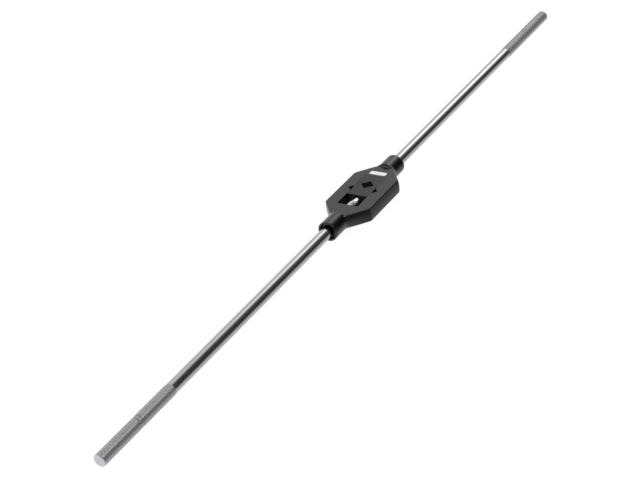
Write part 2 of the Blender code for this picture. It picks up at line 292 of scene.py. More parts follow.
# skin of a cast, painted or blackened surface: wide waves and fine grain
surfaceGrain, given, put = newGroup(
    "surfaceGrain", {"Coarse Scale": 400.0, "Fine Scale": 2600.0, "Fine Share": 0.45},
    ["Height", "Patches", "Specks"])
place = objectPlace(surfaceGrain)
coarse = noise(surfaceGrain, place, given.outputs["Coarse Scale"], 3.0)
fine = noise(surfaceGrain, place, given.outputs["Fine Scale"], 5.0, 0.6)
heights = mixedValue(surfaceGrain, given.outputs["Fine Share"], coarse, fine)
clouds = noise(surfaceGrain, place, 90.0, 6.0)
cells = node(surfaceGrain, "ShaderNodeTexVoronoi", {"Vector": place, "Scale": given.outputs["Fine Scale"]})
surfaceGrain.links.new(heights, put.inputs["Height"])
surfaceGrain.links.new(ranged(surfaceGrain, clouds, 0.3, 0.7), put.inputs["Patches"])
surfaceGrain.links.new(ranged(surfaceGrain, cells.outputs["Distance"], 0.05, 0.28, 1.0, 0.0),
                       put.inputs["Specks"])

# marks of a turned or drawn bar: rings round X and streaks along X, both from stretched noise
barMarks, given, put = newGroup(
    "barMarks", {"Ring Scale": 3500.0, "Streak Scale": 1800.0, "Streak Share": 0.5},
    ["Height", "Marks", "Smudges"])
place = objectPlace(barMarks)
across = node(barMarks, "ShaderNodeVectorMath", {0: place, 1: (1.0, 0.02, 0.02)}, operation="MULTIPLY")
rings = noise(barMarks, across.outputs[0], given.outputs["Ring Scale"], 3.0)
along = node(barMarks, "ShaderNodeVectorMath", {0: place, 1: (0.012, 1.0, 1.0)}, operation="MULTIPLY")
streaks = noise(barMarks, along.outputs[0], given.outputs["Streak Scale"], 3.0)
both = mixedValue(barMarks, given.outputs["Streak Share"], rings, streaks)
barMarks.links.new(both, put.inputs["Height"])
barMarks.links.new(ranged(barMarks, both, 0.35, 0.65), put.inputs["Marks"])
smudges = noise(barMarks, place, 45.0, 7.0, 0.62)
barMarks.links.new(ranged(barMarks, smudges, 0.32, 0.68), put.inputs["Smudges"])


def newMaterial(name, **uniform):
    # uniform values are set on the shader's own sockets
    material = bpy.data.materials.new(name)
    material.use_nodes = True
    tree = material.node_tree
    shader = tree.nodes["Principled BSDF"]
    for key, value in uniform.items():
        shader.inputs[key.replace("_", " ")].default_value = value
    return material, tree, shader


def useGroup(tree, group, **values):
    made = tree.nodes.new("ShaderNodeGroup")
    made.node_tree = group
    for key, value in values.items():
        made.inputs[key.replace("_", " ")].default_value = value
    return made.outputs


def finishShader(tree, shader, colour, rough, height, bump):
    tree.links.new(colour, shader.inputs["Base Color"])
    tree.links.new(rough, shader.inputs["Roughness"])
    normal = node(tree, "ShaderNodeBump", {"Height": height, "Strength": bump[0], "Distance": bump[1]})
    tree.links.new(normal.outputs[0], shader.inputs["Normal"])


paintLook = {
    "black": (0.0022, 0.0020, 0.0042),
    "dusty": (0.0055, 0.0050, 0.0085),
    "bare": (0.070, 0.068, 0.066),
    "roughness": (0.12, 0.20),
    "patchRoughness": 0.05,         # added where the paint is dusty
    "grain": {"Coarse_Scale": 520.0, "Fine_Scale": 2300.0, "Fine_Share": 0.5},
    "wear": {"Radius": 0.0005, "Threshold": 0.035, "Spread": 0.12, "Breakup": 0.9},
    "wearShare": 0.55,
    "bump": (0.34, 0.00012),        # its strength, and its depth in metres
}


def makeBlackPaint():
    material, tree, shader = newMaterial("blackPaint", Metallic=0.0, Specular_IOR_Level=0.62)
    look = paintLook
    grain = useGroup(tree, surfaceGrain, **look["grain"])
    worn = useGroup(tree, edgeWear, **look["wear"])
    colour = mixedColour(tree, grain["Patches"], look["black"], look["dusty"])
    wear = maths(tree, "MULTIPLY", worn["Mask"], look["wearShare"])
    colour = mixedColour(tree, wear, colour, look["bare"])
    rough = ranged(tree, grain["Specks"], 0.0, 1.0, *look["roughness"])
    rough = maths(tree, "ADD", rough, maths(tree, "MULTIPLY", grain["Patches"], look["patchRoughness"]))
    finishShader(tree, shader, colour, rough, grain["Height"], look["bump"])
    return material


jawLook = {
    "black": (0.0060, 0.0058, 0.0085),
    "brown": (0.0100, 0.0095, 0.0090),
    "bare": (0.22, 0.22, 0.22),
    "roughness": (0.33, 0.46),
    "grain": {"Coarse_Scale": 700.0, "Fine_Scale": 3200.0, "Fine_Share": 0.6},
    "marks": {"Ring_Scale": 2600.0, "Streak_Scale": 3600.0, "Streak_Share": 0.65},
    "wear": {"Radius": 0.0004, "Threshold": 0.03, "Spread": 0.10, "Breakup": 0.8},
    "wearShare": 0.8,
    "bareMetal": 0.9,               # how metallic a fully worn edge is
    "bump": (0.16, 0.00008),
}


def makeBlackSteel():
    material, tree, shader = newMaterial("blackSteel")
    look = jawLook
    grain = useGroup(tree, surfaceGrain, **look["grain"])
    marks = useGroup(tree, barMarks, **look["marks"])
    worn = useGroup(tree, edgeWear, **look["wear"])
    wear = maths(tree, "MULTIPLY", worn["Mask"], look["wearShare"])
    colour = mixedColour(tree, grain["Patches"], look["black"], look["brown"])
    colour = mixedColour(tree, wear, colour, look["bare"])
    tree.links.new(maths(tree, "MULTIPLY", wear, look["bareMetal"]), shader.inputs["Metallic"])
    rough = ranged(tree, marks["Marks"], 0.0, 1.0, *look["roughness"])
    finishShader(tree, shader, colour, rough, marks["Height"], look["bump"])
    return material


steelLook = {
    "bright": (0.50, 0.50, 0.505),
    "dull": (0.44, 0.437, 0.433),
    # the lighter colour of the bars' end faces is a painted highlight
    "endFaceHighlight": (0.74, 0.74, 0.745),
    "grip": (0.415, 0.41, 0.435),
    # darker where the screws run inside the housing
    "inHousing": (0.24, 0.235, 0.225),
    "roughness": (0.10, 0.16),
    "gripRoughness": 0.20,
    "gripStretch": 0.85,            # how far the knurls spread reflections along the grip
    "gripDiffuse": 0.38,
    # the nose's lighter colour is a painted highlight on the screw's rounded tip
    "nose": (0.68, 0.68, 0.685),
    # where each zone starts or ends, as a distance from the middle of the wrench, and over what length
    "gripZone": (0.287, 0.0003),
    "endFaceHighlightZone": (0.3747, 0.0002),
    "inHousingZone": (0.0545, 0.0006),
    "noseHighlightZone": (0.0240, 0.003),
    "marks": {"Ring_Scale": 3800.0, "Streak_Scale": 2600.0, "Streak_Share": 0.5},
    "smudgeShare": 0.6,
    "smudgeRoughness": 0.03,
    "bump": (0.10, 0.00002),
}


def makePolishedSteel():
    material, tree, shader = newMaterial("polishedSteel", Metallic=1.0)
    look = steelLook
    marks = useGroup(tree, barMarks, **look["marks"])
    along = maths(tree, "ABSOLUTE", alongX(tree))
    (grip, gripOver), (face, faceOver) = look["gripZone"], look["endFaceHighlightZone"]
    (inHousing, inHousingOver), (nose, noseOver) = look["inHousingZone"], look["noseHighlightZone"]
    gripZone = ranged(tree, along, grip - gripOver, grip)
    endFaceHighlightZone = ranged(tree, along, face, face + faceOver)
    inHousingZone = ranged(tree, along, inHousing, inHousing - inHousingOver)
    noseHighlightZone = ranged(tree, along, nose, nose - noseOver)
    inHousingZone = maths(tree, "SUBTRACT", inHousingZone, noseHighlightZone)
    shade = maths(tree, "MULTIPLY", marks["Smudges"], look["smudgeShare"])
    colour = mixedColour(tree, shade, look["bright"], look["dull"])
    colour = mixedColour(tree, gripZone, colour, look["grip"])
    # painted highlight: the bars' end faces get a lighter colour
    colour = mixedColour(tree, endFaceHighlightZone, colour, look["endFaceHighlight"])
    # the screw is darker inside the housing, up to its nose
    colour = mixedColour(tree, inHousingZone, colour, look["inHousing"])
    # painted highlight: the screw's nose gets its lighter colour
    colour = mixedColour(tree, noseHighlightZone, colour, look["nose"])
    rough = maths(tree, "ADD", ranged(tree, marks["Marks"], 0.0, 1.0, *look["roughness"]),
                  maths(tree, "MULTIPLY", marks["Smudges"], look["smudgeRoughness"]))
    rough = maths(tree, "ADD", rough, maths(tree, "MULTIPLY", gripZone, look["gripRoughness"]))
    tree.links.new(maths(tree, "MULTIPLY", gripZone, look["gripStretch"]), shader.inputs["Anisotropic"])
    tree.links.new(node(tree, "ShaderNodeCombineXYZ", {0: 1.0}).outputs[0], shader.inputs["Tangent"])
    metal = maths(tree, "SUBTRACT", 1.0, maths(tree, "MULTIPLY", gripZone, look["gripDiffuse"]))
    tree.links.new(metal, shader.inputs["Metallic"])
    finishShader(tree, shader, colour, rough, marks["Height"], look["bump"])
    return material


hardLook = {
    "grey": (0.17, 0.17, 0.175),
    "brown": (0.11, 0.105, 0.10),
    "bare": (0.42, 0.42, 0.42),
    "bush": (0.065, 0.065, 0.072),
    "bushZone": (-0.040, -0.0412),  # the places along X over which the bush's own colour starts
    "roughness": (0.26, 0.40),
    "marks": {"Ring_Scale": 5200.0, "Streak_Scale": 2200.0, "Streak_Share": 0.3},
    "grain": {"Coarse_Scale": 900.0, "Fine_Scale": 4200.0, "Fine_Share": 0.5},
    "wear": {"Radius": 0.0003, "Threshold": 0.03, "Spread": 0.12, "Breakup": 0.7},
    "bump": (0.2, 0.00003),
}


def makeHardSteel():
    material, tree, shader = newMaterial("hardSteel", Metallic=1.0)
    look = hardLook
    marks = useGroup(tree, barMarks, **look["marks"])
    grain = useGroup(tree, surfaceGrain, **look["grain"])
    worn = useGroup(tree, edgeWear, **look["wear"])
    colour = mixedColour(tree, grain["Patches"], look["grey"], look["brown"])
    colour = mixedColour(tree, worn["Mask"], colour, look["bare"])
    colour = mixedColour(tree, ranged(tree, alongX(tree), *look["bushZone"]), colour, look["bush"])
    rough = ranged(tree, marks["Marks"], 0.0, 1.0, *look["roughness"])
    finishShader(tree, shader, colour, rough, marks["Height"], look["bump"])
    return material


enamelLook = {
    "white": (0.95, 0.95, 0.96),
    "soiled": (0.86, 0.86, 0.87),
    "bare": (0.45, 0.45, 0.45),
    "roughness": (0.32, 0.46),
    "grain": {"Coarse_Scale": 800.0, "Fine_Scale": 5200.0, "Fine_Share": 0.4},
    "wear": {"Radius": 0.0003, "Threshold": 0.03, "Spread": 0.15, "Breakup": 0.9},
    "bump": (0.12, 0.00005),
}


def makeWhiteEnamel():
    # the emission is painted light: the white enamel plate glows a little, though it is no lamp
    material, tree, shader = newMaterial("whiteEnamelGlow", Metallic=0.0, Emission_Strength=0.11,
                                         Emission_Color=(1.0, 1.0, 1.0, 1.0))
    look = enamelLook
    grain = useGroup(tree, surfaceGrain, **look["grain"])
    worn = useGroup(tree, edgeWear, **look["wear"])
    colour = mixedColour(tree, grain["Patches"], look["white"], look["soiled"])
    colour = mixedColour(tree, worn["Mask"], colour, look["bare"])
    rough = ranged(tree, grain["Specks"], 0.0, 1.0, *look["roughness"])
    finishShader(tree, shader, colour, rough, grain["Height"], look["bump"])
    return material


blackPaint = makeBlackPaint()
blackSteel = makeBlackSteel()
polishedSteel = makePolishedSteel()
hardSteel = makeHardSteel()
whiteEnamelGlow = makeWhiteEnamel()
print("materials made")


housing = {
    "coneStart": (-0.0392, 0.0449),      # where the two cones leave the bosses' radius
    "coneSlope": 0.80,
    "shoulder": (-0.0387, 0.0442),       # where the flats' milling ends on the bosses
    "neckFillet": 0.0016,
    "sideFillet": 0.0007,
    "coneEdge": 0.0005,
    "sideCrease": 0.0008,
    "sideCrown": 0.0005,
    "shoulderFillet": 0.0004,
    "edgeBlend": (0.0005, 0.0015),       # how the edges' radius grows from the cones to the sides
    "nearRim": 0.0007,
    "farRim": 0.0026,
    "slot": (-0.0222, 0.0267),
    "slotHalfWidth": 0.0102,
    "notchCentre": 0.0046223,
    "notchDepth": 0.0043421,
    "rimChamfer": 0.00012,
    "pocketRadius": 0.00725,
    "pocketEnd": -0.04025,
    "boreRadius": 0.0052,
    "slotCorner": 0.00045,
    "straight": (-0.0180, 0.0238),       # between these the sides are straight
    "rows": (9, 36, 52),                 # along a boss, round its shoulder and along its cone
    "shoulderReach": (0.0020, 0.0024),   # how far the close rows go on either side of a shoulder
    "rowStep": 0.0002,
    "straightStep": 0.0005,
    "columns": (6, 12, 54),              # up half a side, round its edge and across half a flat
    "rayReach": (0.003, 0.032),          # the shortest and the longest ray tried from the axis
    "halvings": 34,
}


def housingDistance(x, y, z):
    # how far outside the solid a point is: cones and side planes meet in a rounded maximum,
    # the flats cut them, and the bosses join on in a rounded minimum
    p = housing
    slant = 1 / math.hypot(1, p["coneSlope"])
    radius = np.hypot(y, z)
    bossRadius = housingHigh.z - axisHeight
    nearCone = (radius - bossRadius - p["coneSlope"] * (x - p["coneStart"][0])) * slant
    farCone = (radius - bossRadius - p["coneSlope"] * (p["coneStart"][1] - x)) * slant
    cones = np.maximum(nearCone, farCone)
    crown = p["sideCrown"] * (z / halfThickness) ** 2
    side = np.abs(y) - housingHigh.y + crown
    flank = roundMax(cones, side, p["sideCrease"])
    blendStart, blendWidth = p["edgeBlend"]
    straight = np.clip((side - cones + blendStart) / blendWidth, 0, 1)
    edge = p["coneEdge"] + (p["sideFillet"] - p["coneEdge"]) * straight
    body = roundMax(flank, np.abs(z) - halfThickness, edge)
    nearBoss = roundMax(radius - bossRadius, x - p["shoulder"][0], p["shoulderFillet"])
    farBoss = roundMax(radius - bossRadius, p["shoulder"][1] - x, p["shoulderFillet"])
    body = roundMin(body, nearBoss, p["neckFillet"])
    return roundMin(body, farBoss, p["neckFillet"])


def housingAngles():
    # directions that hit a rounded rectangle at even steps: fine round its corners
    halfWidth, fillet = housingHigh.y, housing["sideFillet"]
    flatEdge = halfWidth - fillet
    sideTop = halfThickness - fillet
    upSide, roundEdge, acrossFlat = housing["columns"]
    turn = np.linspace(0, math.pi / 2, roundEdge)
    cornerY, cornerZ = flatEdge + fillet * np.cos(turn), sideTop + fillet * np.sin(turn)
    y = np.concatenate([np.full(upSide, halfWidth), cornerY[1:-1], np.linspace(flatEdge, 0, acrossFlat)])
    z = np.concatenate([np.linspace(0, sideTop, upSide), cornerZ[1:-1], np.full(acrossFlat, halfThickness)])
    quarter = np.unique(np.arctan2(z, y))
    half = np.concatenate([quarter, math.pi - quarter[-2::-1]])
    return np.concatenate([half, half[1:-1] + math.pi])


def housingRows():
    # places along X: close together where the cones, creases and shoulders are
    near, far = housingLow.x + housing["nearRim"], housingHigh.x - housing["farRim"]
    nearShoulder, farShoulder = housing["shoulder"]
    start, end = housing["straight"]
    onBoss, onShoulder, onCone = housing["rows"]
    outward, inward = housing["shoulderReach"]
    step, straightStep = housing["rowStep"], housing["straightStep"]
    parts = [np.linspace(near, nearShoulder - outward - step, onBoss),
             np.linspace(nearShoulder - outward, nearShoulder + inward, onShoulder),
             np.linspace(nearShoulder + inward + step, start - straightStep, onCone),
             np.linspace(start, end, onBoss),
             np.linspace(end + straightStep, farShoulder - inward - step, onCone),
             np.linspace(farShoulder - inward, farShoulder + outward, onShoulder),
             np.linspace(farShoulder + outward + step, far, onBoss)]
    return np.unique(np.concatenate(parts))


def housingShell():
    # each point is where a ray from the axis, at its place and angle, leaves the solid
    x, angles = housingRows(), housingAngles()
    shortest, longest = housing["rayReach"]
    low = np.full((len(x), len(angles)), shortest)
    high = np.full_like(low, longest)
    for _ in range(housing["halvings"]):
        middle = (low + high) / 2
        outside = housingDistance(x[:, None], middle * np.cos(angles), middle * np.sin(angles)) > 0
        high = np.where(outside, middle, high)
        low = np.where(outside, low, middle)
    reach = (low + high) / 2
    bossRadius = housingHigh.z - axisHeight
    turn = np.linspace(0, math.pi / 2, 9)[1:]       # the bosses' rounded rims, quarter circles
    nearRim, farRim = housing["nearRim"], housing["farRim"]
    nearX = (housingLow.x + nearRim * (1 - np.sin(turn)))[::-1]
    nearR = (bossRadius - nearRim * (1 - np.cos(turn)))[::-1]
    farX = housingHigh.x - farRim * (1 - np.sin(turn))
    farR = bossRadius - farRim * (1 - np.cos(turn))
    allX = np.concatenate([[housingLow.x], nearX, x, farX, [housingHigh.x]])
    ring = np.ones(len(angles))
    allR = np.concatenate([[ring * 0], nearR[:, None] * ring, reach, farR[:, None] * ring, [ring * 0]])
    points = roundAbout(allX[:, None], allR, angles[None, :])
    return finishMesh("housingShell", points, gridFaces(len(allX), len(angles)))


def slotTool():
    # the slot's outline with its four notches, chamfered at both flats
    past, chamfer, t = shared["past"], housing["rimChamfer"], halfThickness
    half, centre, depth = housing["slotHalfWidth"], housing["notchCentre"], housing["notchDepth"]
    nearSlot, farSlot = housing["slot"]
    notch = [(centre - depth, -half), (centre, -half - depth), (centre + depth, -half)]
    outline = [(nearSlot, -half), *notch, (farSlot, -half), (farSlot, half)]
    outline += [(x, -y) for x, y in notch[::-1]] + [(nearSlot, half)]
    outline = easedCorners(outline, housing["slotCorner"], 4)
    levels = [(-t - past, chamfer), (-t, chamfer), (-t + chamfer, 0), (t - chamfer, 0), (t, chamfer),
              (t + past, chamfer)]
    return platePiece("slotTool", outline, levels)


def boreTools():
    # the near boss's stepped bore with the bush's pocket, and the far boss's blind bore
    past, mouth = shared["past"], shared["mouth"]
    pocket, bore = housing["pocketRadius"], housing["boreRadius"]
    slotStart, boreEnd = housing["slot"][0], fixedBarLow.x - shared["seam"]
    nearTool = turnedPiece("nearBoreTool", [
        (housingLow.x - past, 0), (housingLow.x - past, pocket + mouth), (housingLow.x, pocket + mouth),
        (housingLow.x + mouth, pocket), (housing["pocketEnd"], pocket), (housing["pocketEnd"], bore),
        (slotStart - mouth, bore), (slotStart + 0.0001, bore + mouth), (slotStart + past, bore + mouth),
        (slotStart + past, 0)])
    farTool = turnedPiece("farBoreTool", [
        (boreEnd - past / 2, 0), (boreEnd, bore), (housingHigh.x - mouth, bore),
        (housingHigh.x, bore + mouth), (housingHigh.x + past, bore + mouth), (housingHigh.x + past, 0)])
    return nearTool, farTool


def makeHousing():
    body = addObject("housing_body_shell", housingShell())
    drills = [pinDrill(n, shared["seam"]) for n in ("fixed_jaw_dowel_left", "fixed_jaw_dowel_right")]
    drills.append(pinDrill("fixed_handle_pin", shared["paintedSeam"]))
    cut(body, [slotTool(), *boreTools(), *drills])
    body.name = "black_housing"
    body.data.materials.append(blackPaint)
    return fit(body, "housing_body", "black_paint", "housing")


def pinDrill(nodeName, room):
    # an upright drill round a CAD pin, with that much room; a pin that stops inside gets a blind hole
    low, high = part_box(nodeName)
    centreX, centreY, radius = (low.x + high.x) / 2, (low.y + high.y) / 2, (high.x - low.x) / 2 + room
    through = high.z > axisHeight + halfThickness - 0.001
    bottom, top = low.z - shared["past"], high.z + (shared["past"] if through else room)
    return addObject(nodeName + "_drill", uprightTurned(
        nodeName + "_drill", centreX, centreY, np.array([bottom, bottom, top, top]),
        np.array([0, radius, radius, 0])))


def uprightTurned(name, centreX, centreY, z, r, sides=40):
    # points at (centreX + r cos a, centreY + r sin a, z) for each (z, r) pair and each angle a
    angles = np.linspace(0, 2 * math.pi, sides, endpoint=False)
    points = np.stack(np.broadcast_arrays(centreX + r[:, None] * np.cos(angles),
                                          centreY + r[:, None] * np.sin(angles),
                                          z[:, None] + 0 * angles), -1).reshape(-1, 3)
    return finishMesh(name, points, gridFaces(len(z), sides)[:, ::-1])


makeHousing()


jaws = {
    "chamfer": 0.00012,
    "corner": 0.00040,
    "snug": 0.00013,                 # how far past its CAD node a jaw reaches, so that its seams are fine
    "nearEndBack": 0.0008,
    "backCorner": 0.0006,
    "boreRadius": 0.0047,
    "boreEnd": 0.0012,
    "square": 0.009,                 # the side of the square that the jaws leave open at rest
}


def jawOutline(face, apex, back):
    half = slidingHigh.y + jaws["snug"]
    mouth = abs(face - apex)
    sign = 1 if back > face else -1
    c = jaws["backCorner"] * sign
    outline = [(face, half), (face, mouth), (apex, 0), (face, -mouth), (face, -half), (back - c, -half),
               (back, -half + abs(c)), (back, half - abs(c)), (back - c, half)]
    return outline if sign > 0 else outline[::-1]


def jawLevels():
    t, c = halfThickness, jaws["chamfer"]
    return [(-t, -c), (-t + c, 0), (t - c, 0), (t, -c)]


def makeJaws():
    squareCentre = (slidingHigh.x + fixedLow.x) / 2
    reach = jaws["square"] / math.sqrt(2)
    farEnd, nearEnd = fixedHigh.x + jaws["snug"], slidingLow.x + jaws["nearEndBack"]
    outline = easedCorners(jawOutline(fixedLow.x, squareCentre + reach, farEnd), jaws["corner"])
    fixed = platePiece("fixed_v_jaw", outline, jawLevels(), blackSteel)
    cut(fixed, [pinDrill(n, shared["seam"]) for n in ("fixed_jaw_dowel_left", "fixed_jaw_dowel_right")])
    fit(fixed, "housing_body", "black_steel", "fixed_jaw")

    outline = easedCorners(jawOutline(slidingHigh.x, squareCentre - reach, nearEnd), jaws["corner"])
    sliding = platePiece("sliding_v_jaw", outline, jawLevels(), blackSteel)
    past, mouth, bore, boreEnd = shared["past"], shared["mouth"], jaws["boreRadius"], jaws["boreEnd"]
    boreTool = turnedPiece("jawBoreTool", [
        (nearEnd - past, 0), (nearEnd - past, bore + mouth), (nearEnd, bore + mouth),
        (nearEnd + mouth, bore), (boreEnd, bore), (boreEnd + 0.001, 0)], 64)
    cut(sliding, [boreTool, *[pinDrill(n, shared["pinSeam"]) for n in ("nose_pin_left", "nose_pin_right")]])
    fit(sliding, "jaw_body", "black_steel", "sliding_jaw")


makeJaws()


bar = {
    "columns": 104,
    "shankRadius": 0.0051,
    "gripLength": 0.088,
    "gripRadius": 0.0053,
    "gripPlain": 0.00515,
    "knurlDepth": 0.00005,
    "knurlFlank": 0.72,             # the share of its height that a knurl has half way up
    "knurlStep": 0.000205,          # a quarter of a diamond along the grip
    "endChamfer": 0.0004,
    "ease": 0.0001,                 # the size of small chamfers
    "gripStep": 0.00002,            # how far along the grip's inner shoulder runs
    "plainLengths": (0.0016, 0.0003, 0.0006),   # at the outer end, beside the notches and at the inner end
    "notches": (0.0443, 0.0477),    # where the grip's two narrow notches start, from its outer end
    "notchWidth": 0.0006,
    "notchRadius": 0.0046,
    "plainInside": 0.0031,          # how far the plain bar runs into the near boss, up to the bush
    "pitch": 0.0015,
    "threadMajor": 0.00495,
    "threadMinor": 0.00410,
    "fadeSlope": 1.2,               # how steeply the thread rises from its two ends
}


def plainBlock(profile):
    # rows of one radius each, at (place, radius)
    x, r = np.array(profile, float).T
    angles = np.linspace(0, 2 * math.pi, bar["columns"], endpoint=False)
    return roundAbout(x[:, None], r[:, None], angles[None, :]), gridFaces(len(x), bar["columns"])


def knurlBlock(start, end, plain):
    # pyramids between two crossing sets of grooves: at step i along and j round, the height goes by
    # the distance of (i + j) / 4 or (i - j) / 4, the smaller, from a whole number
    count = int(round((end - start) / bar["knurlStep"] / 4)) * 4
    columns = bar["columns"]
    i, j = np.meshgrid(np.arange(count + 1), np.arange(columns), indexing="ij")
    away = np.minimum(np.abs(((i + j) / 4 + 0.5) % 1 - 0.5), np.abs(((i - j) / 4 + 0.5) % 1 - 0.5))
    height = np.interp(away, [0, 0.25, 0.5], [0, bar["knurlFlank"], 1.0])
    fade = np.clip(np.minimum(i, count - i) / 4.0, 0, 1)
    root, crest = bar["gripRadius"] - bar["knurlDepth"], bar["gripRadius"]
    radius = plain + fade * (root + (crest - root) * height - plain)
    x = start + (end - start) * i / count
    other = (i + j + 1) % 4 == 0
    return roundAbout(x, radius, 2 * math.pi * j / columns), gridFaces(count + 1, columns, 0, other)


def threadBlock(start, end, startRadius, endRadius):
    # rows that climb one pitch a turn: flat roots and crests with 60 degree flanks, faded out at both ends
    columns, pitch = bar["columns"], bar["pitch"]
    shares = np.array([0.0, 0.22, 0.25, 0.56, 0.585, 0.665, 0.69, 0.97])
    major, minor = bar["threadMajor"], bar["threadMinor"]
    heights = np.array([minor, minor, minor + 0.00003, major - 0.00004, major, major, major - 0.00004,
                        minor + 0.00003])
    turns = int(math.ceil((end - start) / pitch)) + 2
    rowX = (np.arange(-1, turns)[:, None] + shares[None, :]).ravel() * pitch + start
    rowR = np.tile(heights, turns + 1)
    share = np.arange(columns) / columns
    x = rowX[:, None] + pitch * share[None, :]
    radius = np.broadcast_to(rowR[:, None], x.shape)
    radius = np.minimum(radius, startRadius + np.maximum(x - start, 0) * bar["fadeSlope"])
    radius = np.minimum(radius, endRadius + np.maximum(end - x, 0) * bar["fadeSlope"])
    radius = np.where(x <= start, startRadius, np.where(x >= end, endRadius, radius))
    x = np.clip(x, start, end)
    return roundAbout(x, radius, 2 * math.pi * share[None, :]), gridFaces(len(rowX), columns, len(shares))


def gripBlocks(outerEnd, direction):
    # from the outer end inwards; direction is +1 for the grip at -X and -1 for the one at +X
    def placed(pairs):
        return [(outerEnd + direction * x, r) for x, r in pairs][::direction]

    chamfer, plain, ease = bar["endChamfer"], bar["gripPlain"], bar["ease"]
    wide, deep, length = bar["notchWidth"], bar["notchRadius"], bar["gripLength"]
    firstNotch, secondNotch = bar["notches"]
    outer, beside, inner = bar["plainLengths"]
    step = bar["knurlStep"] * 4
    firstEnd = outer + math.floor((firstNotch - beside - outer) / step) * step
    secondStart = secondNotch + wide + beside
    secondEnd = secondStart + math.floor((length - inner - secondStart) / step) * step
    edge = bar["gripRadius"] - ease
    face = [(0, 0), (0, edge - chamfer - ease), (0.00003, edge - chamfer), (chamfer, edge),
            (outer - 4 * ease, edge), (outer - 2 * ease, plain), (outer, plain)]
    ring = [(firstEnd, plain)]
    for start in bar["notches"]:
        end = start + wide
        ring += [(start, plain), (start + ease, plain - ease), (start + 2 * ease, deep),
                 (end - 2 * ease, deep), (end - ease, plain - ease), (end, plain)]
    ring.append((secondStart, plain))
    tail = [(secondEnd, plain), (length, plain), (length + bar["gripStep"], bar["shankRadius"])]
    blocks = [plainBlock(placed(rows)) for rows in (face, ring, tail)]
    for a, b in ((outer, firstEnd), (secondStart, secondEnd)):
        low, high = sorted((outerEnd + direction * a, outerEnd + direction * b))
        blocks.append(knurlBlock(low, high, plain))
    return blocks


def shankRows(start, end):
    return [(x, bar["shankRadius"]) for x in np.linspace(start, end, 40)]


adjusting = {
    "undercut": (-0.0136, -0.0120),
    "undercutRadius": 0.0040,
    "noseRadius": 0.0044,
    "noseGroove": (-0.0037, -0.0009),
    "noseGrooveRadius": 0.0030,
    "chamfer": 0.0002,
    "shankChamfer": 0.0003,
    "tipChamfer": 0.0006,
}


def screwEnd(minor):
    # the screw's undercut, its nose and the nose's groove, up to the tip
    c, under, nose = adjusting["chamfer"], adjusting["undercutRadius"], adjusting["noseRadius"]
    cutA, cutB = adjusting["undercut"]
    grooveA, grooveB = adjusting["noseGroove"]
    grooveR, tip, end = adjusting["noseGrooveRadius"], adjusting["tipChamfer"], adjustHigh.x
    return [(cutA, minor), (cutA + c, under), (cutB - 1.5 * c, under), (cutB, nose - c), (cutB + c, nose),
            (grooveA - c, nose), (grooveA, nose - c), (grooveA, grooveR + c), (grooveA + c, grooveR),
            (grooveB - c, grooveR), (grooveB, grooveR + c), (grooveB, nose - c), (grooveB + c, nose),
            (end - tip, nose), (end - c, nose - tip / 2), (end, nose - tip - c), (end, 0)]


def makeHandles():
    inner = bar["gripLength"] + bar["gripStep"]
    shank, minor, chamfer = bar["shankRadius"], bar["threadMinor"], adjusting["shankChamfer"]
    shoulder = housingLow.x + bar["plainInside"]
    threadEnd = adjusting["undercut"][0]
    blocks = gripBlocks(adjustLow.x, 1)
    blocks.append(plainBlock(shankRows(adjustLow.x + inner, shoulder - 0.0004)
                             + [(shoulder, shank - chamfer), (shoulder, minor)]))
    blocks.append(threadBlock(shoulder, threadEnd, minor, minor))
    blocks.append(plainBlock(screwEnd(minor)))
    handle = addObject("screw_handle", finishMesh("screwHandle", *joinBlocks(blocks)), polishedSteel)
    fit(handle, "handle_body", "polished_steel", "adjusting_handle")

    shoulder, innerEnd = housingHigh.x + shared["seam"], fixedBarLow.x
    point = 2 * chamfer
    blocks = [plainBlock([(innerEnd, 0), (innerEnd, minor - point), (innerEnd + point, minor)]),
              threadBlock(innerEnd + point, shoulder, minor, minor),
              plainBlock([(shoulder, minor), (shoulder, shank - chamfer)]
                         + shankRows(shoulder + chamfer, fixedBarHigh.x - inner)),
              *gripBlocks(fixedBarHigh.x, -1)]
    handle = addObject("plain_handle", finishMesh("plainHandle", *joinBlocks(blocks)), polishedSteel)
    cut(handle, [pinDrill("fixed_handle_pin", shared["seam"])])
    fit(handle, "housing_body", "polished_steel", "fixed_handle")


makeHandles()


smallParts = {
    "bushLip": 0.0005,
    "pinChamfer": 0.00025,
    "pinDish": 0.00012,
    "plateCorner": 0.0009,
    "plateEdge": 0.00012,
}


def makeBush():
    low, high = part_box("screw_bush")
    outer, bore, lip = high.y, housing["boreRadius"], smallParts["bushLip"]
    profile = [(low.x + lip, bore), (low.x, bore + lip), (low.x, outer - lip),
               (low.x + lip * 0.3, outer - lip * 0.3), (low.x + lip, outer), (high.x - lip, outer),
               (high.x, outer - lip), (high.x, bore + lip), (high.x - lip, bore), (low.x + lip, bore)]
    bush = turnedPiece("threaded_bush", profile, 96, hardSteel)
    fit(bush, "housing_body", "hard_steel", "screw_bush")


def makePin(nodeName, pieceName, body, material, slotName):
    # turned about its own upright axis: chamfered ends with a shallow dish
    low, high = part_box(nodeName)
    radius, c = (high.x - low.x) / 2, smallParts["pinChamfer"]
    share = np.array([0, 0.35, 0.6])
    dish = smallParts["pinDish"] * (1 - share ** 2)
    z = np.concatenate([low.z + dish, [low.z, low.z + c, high.z - c, high.z], high.z - dish[::-1]])
    r = np.concatenate([radius * share, [radius - c, radius, radius, radius - c], radius * share[::-1]])
    mesh = uprightTurned(pieceName, (low.x + high.x) / 2, (low.y + high.y) / 2, z, r)
    fit(addObject(pieceName, mesh, material), body, slotName, nodeName)


